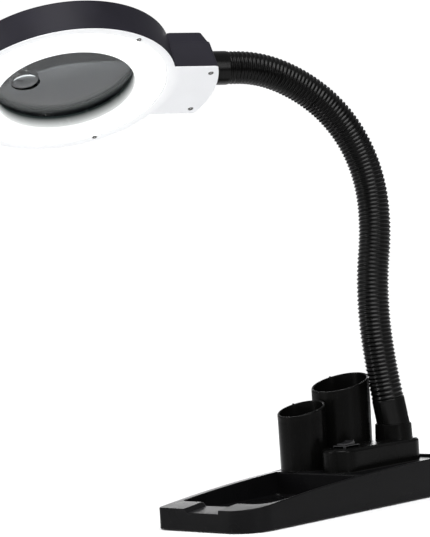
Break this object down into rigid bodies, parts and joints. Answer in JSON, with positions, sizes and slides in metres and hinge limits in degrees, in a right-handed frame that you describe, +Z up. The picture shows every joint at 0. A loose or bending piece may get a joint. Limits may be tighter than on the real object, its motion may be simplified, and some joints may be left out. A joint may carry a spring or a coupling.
{
  "type": "magnifying lamp",
  "caption": "Desk magnifier with a ring-lit lens under a flip-up cover, on a flexible corrugated neck, over a weighted base with a tool tray, pen rest and slant-cut pen cups.",
  "frame": {"origin": "on the desk under the centre of the base", "axes": "+Z up; -Y is the front, the tray end of the base; +X is the side with the round corners"},
  "size_m": [0.1992, 0.2984, 0.3393],
  "materials": {
    "base_plastic": "black moulded plastic, semi-gloss",
    "rocker_plastic": "glossy black rocker",
    "sleeve_plastic": "black corrugated conduit, satin",
    "head_plastic": "black moulded plastic, satin",
    "white_plastic": "white moulded plastic, satin",
    "diffuser": "frosted milky plastic, lit from behind",
    "lens_glass": "polished optical glass",
    "lid_plastic": "dark grey moulded plastic",
    "circuit_board": "white solder mask",
    "led_chip": "phosphor",
    "components": "component casings",
    "foam": "fine closed-cell foam",
    "lead_jacket": "smooth cable jacket",
    "contact_metal": "plated contact",
    "steel": "plated steel",
    "ballast_steel": "raw steel plate"
  },
  "bodies": {
    "base": {"ballast_block": "ballast_steel", "ballast_plate": "ballast_steel", "base_cover": "base_plastic", "base_pad": "foam", "base_screws": "steel", "base_shell": "base_plastic", "large_cup": "base_plastic", "neck_boss": "base_plastic", "neck_collar": "base_plastic", "neck_core_0": "steel", "neck_nut": "steel", "neck_sleeve_0": "sleeve_plastic", "power_lead": "lead_jacket", "power_socket": "base_plastic", "power_socket_pin": "contact_metal", "small_cup": "base_plastic", "switch_body": "base_plastic", "switch_lead": "lead_jacket", "switch_terminals": "contact_metal"},
    "neck_link_1": {"neck_sleeve_1": "sleeve_plastic", "neck_core_1": "steel"},
    "neck_link_2": {"neck_sleeve_2": "sleeve_plastic", "neck_core_2": "steel"},
    "neck_link_3": {"neck_sleeve_3": "sleeve_plastic", "neck_core_3": "steel"},
    "neck_link_4": {"neck_sleeve_4": "sleeve_plastic", "neck_core_4": "steel"},
    "neck_link_5": {"neck_sleeve_5": "sleeve_plastic", "neck_core_5": "steel"},
    "neck_link_6": {"neck_sleeve_6": "sleeve_plastic", "neck_core_6": "steel"},
    "neck_link_7": {"neck_sleeve_7": "sleeve_plastic", "neck_core_7": "steel"},
    "neck_link_8": {"neck_sleeve_8": "sleeve_plastic", "neck_core_8": "steel"},
    "head": {"head_shell": "head_plastic", "underside_cover": "white_plastic", "light_diffuser": "diffuser", "led_board": "circuit_board", "leds": "led_chip", "lens_bezel": "white_plastic", "main_lens": "lens_glass", "inset_lens": "lens_glass", "lens_retainer": "head_plastic", "ring_screws": "steel", "block_screws": "steel", "board_screws": "steel", "head_collar": "head_plastic", "head_nut": "steel", "driver_board": "circuit_board", "driver_parts": "components", "head_lead": "lead_jacket", "lid_pin": "steel", "neck_sleeve_9": "sleeve_plastic", "neck_core_9": "steel"},
    "lid": {"lens_lid": "lid_plastic"},
    "rocker": {"switch_rocker": "rocker_plastic"}
  },
  "joints": [
    {"name": "neck_lower_bend", "type": "hinge", "parent": "base", "child": "neck_link_1", "pos_m": [0.00885, 0.07107, 0.09196], "axis": [0.8829, -0.4695, 0], "range_deg": [-9, 8]},
    {"name": "neck_side_bend", "type": "hinge", "parent": "neck_link_1", "child": "neck_link_2", "pos_m": [0.00746, 0.06846, 0.12212], "axis": [0.4691, 0.8823, 0.0384], "range_deg": [-11, 11]},
    {"name": "neck_lower_bend_2", "type": "hinge", "parent": "neck_link_2", "child": "neck_link_3", "pos_m": [0.00776, 0.06902, 0.15241], "axis": [0.8829, -0.4695, 0], "range_deg": [-9, 8]},
    {"name": "neck_lower_bend_3", "type": "hinge", "parent": "neck_link_3", "child": "neck_link_4", "pos_m": [0.00983, 0.07293, 0.18238], "axis": [0.8829, -0.4695, 0], "range_deg": [-9, 8]},
    {"name": "neck_side_bend_2", "type": "hinge", "parent": "neck_link_4", "child": "neck_link_5", "pos_m": [0.00941, 0.07214, 0.21267], "axis": [0.463, 0.8707, 0.1659], "range_deg": [-11, 11]},
    {"name": "neck_upper_bend", "type": "hinge", "parent": "neck_link_5", "child": "neck_link_6", "pos_m": [0.00516, 0.06413, 0.24158], "axis": [0.8829, -0.4695, 0], "range_deg": [-25, 4]},
    {"name": "neck_upper_bend_2", "type": "hinge", "parent": "neck_link_6", "child": "neck_link_7", "pos_m": [-0.00288, 0.04902, 0.26659], "axis": [0.8829, -0.4695, 0], "range_deg": [-25, 4]},
    {"name": "neck_side_bend_3", "type": "hinge", "parent": "neck_link_7", "child": "neck_link_8", "pos_m": [-0.01409, 0.02794, 0.28524], "axis": [0.2372, 0.4461, 0.863], "range_deg": [-11, 11]},
    {"name": "neck_upper_bend_3", "type": "hinge", "parent": "neck_link_8", "child": "head", "pos_m": [-0.02721, 0.00326, 0.29693], "axis": [0.8829, -0.4695, 0], "range_deg": [-25, 4]},
    {"name": "lid_hinge", "type": "hinge", "parent": "head", "child": "lid", "pos_m": [-0.06683, -0.06153, 0.30697], "axis": [-0.7814, 0.4042, -0.4755], "range_deg": [0, 95]},
    {"name": "power_switch", "type": "hinge", "parent": "base", "child": "rocker", "pos_m": [0.012, 0.025, 0.04], "axis": [-1, 0, 0], "range_deg": [0, 16]}
  ],
  "couplings": [
    {"joint": "neck_lower_bend_2", "follows": "neck_lower_bend", "ratio": 1},
    {"joint": "neck_lower_bend_3", "follows": "neck_lower_bend", "ratio": 1},
    {"joint": "neck_side_bend_2", "follows": "neck_side_bend", "ratio": 1},
    {"joint": "neck_side_bend_3", "follows": "neck_side_bend", "ratio": 1},
    {"joint": "neck_upper_bend_2", "follows": "neck_upper_bend", "ratio": 1},
    {"joint": "neck_upper_bend_3", "follows": "neck_upper_bend", "ratio": 1}
  ]
}
